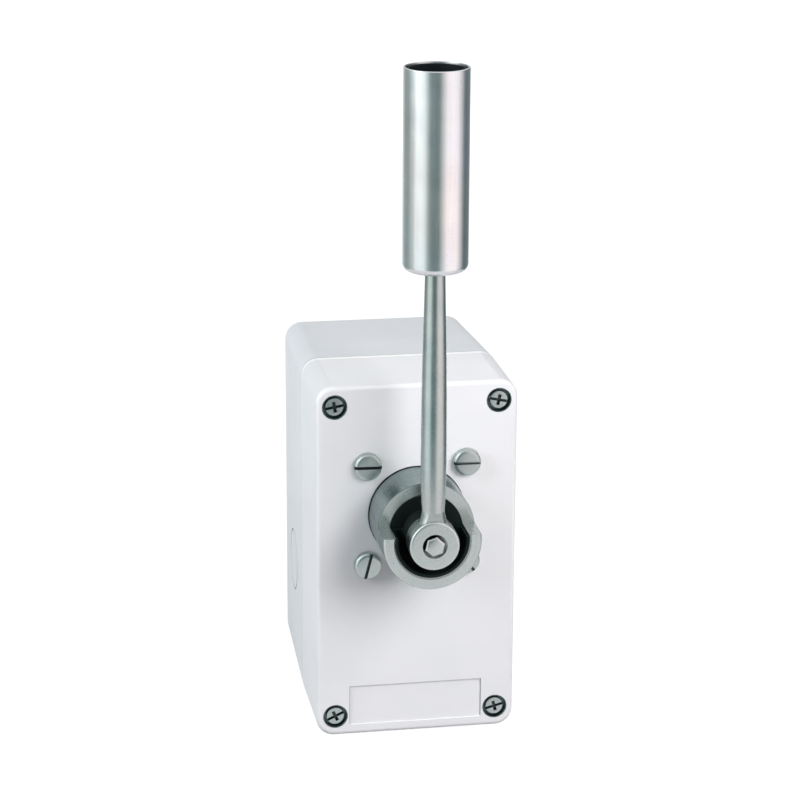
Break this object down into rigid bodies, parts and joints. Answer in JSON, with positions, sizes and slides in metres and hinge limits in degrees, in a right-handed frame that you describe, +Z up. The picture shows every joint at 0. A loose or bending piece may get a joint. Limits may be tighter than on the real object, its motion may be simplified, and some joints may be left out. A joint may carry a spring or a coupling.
{
  "type": "roller lever limit switch",
  "caption": "Boxed limit switch with a sprung swinging lever and a tall free-turning roller, for belt or door edges.",
  "frame": {"origin": "centre of the four fixing holes on the enclosure's back face", "axes": "+Y out of the back face, +Z up along the lever, +X to the right seen from the front"},
  "size_m": [0.08, 0.1533, 0.2758],
  "materials": {
    "enclosure_plastic": "moulded pale grey, satin to gloss",
    "seal_rubber": "black, matt",
    "insert_brass": "turned",
    "screw_steel": "zinc plated, turned heads",
    "plated_steel": "zinc plated sheet",
    "turned_steel": "turned, satin",
    "rod_steel": "ground, satin",
    "roller_steel": "polished lengthwise, satin",
    "spring_steel": "drawn wire",
    "roller_plastic": "black nylon",
    "cam_plastic": "white acetal",
    "switch_plastic": "black thermoset",
    "plunger_plastic": "red acetal",
    "contact_brass": "stamped strip"
  },
  "bodies": {
    "housing": {"base_box": "enclosure_plastic", "cover": "enclosure_plastic", "cover_gasket": "seal_rubber", "threaded_inserts": "insert_brass", "cover_screws": "screw_steel", "earth_terminal": "insert_brass", "earth_screw": "screw_steel", "mechanism_plate": "plated_steel", "plate_gasket": "seal_rubber", "plate_screws": "screw_steel", "collar": "turned_steel", "collar_seal": "seal_rubber", "collar_nut": "plated_steel", "front_bush": "insert_brass", "thrust_washer": "insert_brass", "shaft_seal": "seal_rubber", "rear_bush": "insert_brass", "pillars": "plated_steel", "rear_plate": "plated_steel", "pillar_screws": "screw_steel", "spring_anchor": "plated_steel", "return_spring": "spring_steel", "front_switch_case": "switch_plastic", "front_switch_lid": "switch_plastic", "front_switch_blade": "contact_brass", "front_switch_terminals": "contact_brass", "rear_switch_case": "switch_plastic", "rear_switch_lid": "switch_plastic", "rear_switch_blade": "contact_brass", "rear_switch_terminals": "contact_brass", "switch_barrier": "switch_plastic", "switch_screws": "screw_steel"},
    "lever": {"pivot_shaft": "turned_steel", "lever_hub": "turned_steel", "clamp_screw": "screw_steel", "lever_rod": "rod_steel", "shaft_key": "plated_steel", "retaining_rings": "plated_steel", "spring_carrier": "plated_steel", "front_cam": "cam_plastic", "rear_cam": "cam_plastic", "roller_washers": "screw_steel", "roller_nut": "screw_steel"},
    "roller": {"roller_shell": "roller_steel", "roller_core": "roller_plastic"},
    "front_plunger": {"front_plunger": "plunger_plastic"},
    "rear_plunger": {"rear_plunger": "plunger_plastic"}
  },
  "joints": [
    {"name": "lever_swing", "type": "hinge", "parent": "housing", "child": "lever", "pos_m": [0, -0.141, 0.02], "axis": [0, 1, 0], "range_deg": [-60, 60], "stiffness_Nm_per_rad": 2.5, "deforming": ["return_spring"]},
    {"name": "roller_spin", "type": "hinge", "parent": "lever", "child": "roller", "pos_m": [0, -0.141, 0.165], "axis": [0, 0, 1], "continuous": true},
    {"name": "front_plunger_press", "type": "slide", "parent": "housing", "child": "front_plunger", "axis": [0, 0, -1], "range_m": [-0.0015, 0.0015], "stiffness_N_per_m": 200},
    {"name": "rear_plunger_press", "type": "slide", "parent": "housing", "child": "rear_plunger", "axis": [0, 0, -1], "range_m": [-0.0015, 0.0015], "stiffness_N_per_m": 200}
  ],
  "couplings": [
    {"joint": "front_plunger_press", "follows": "lever_swing", "m_per_rad": 0.0014324},
    {"joint": "rear_plunger_press", "follows": "lever_swing", "m_per_rad": -0.0014324}
  ]
}
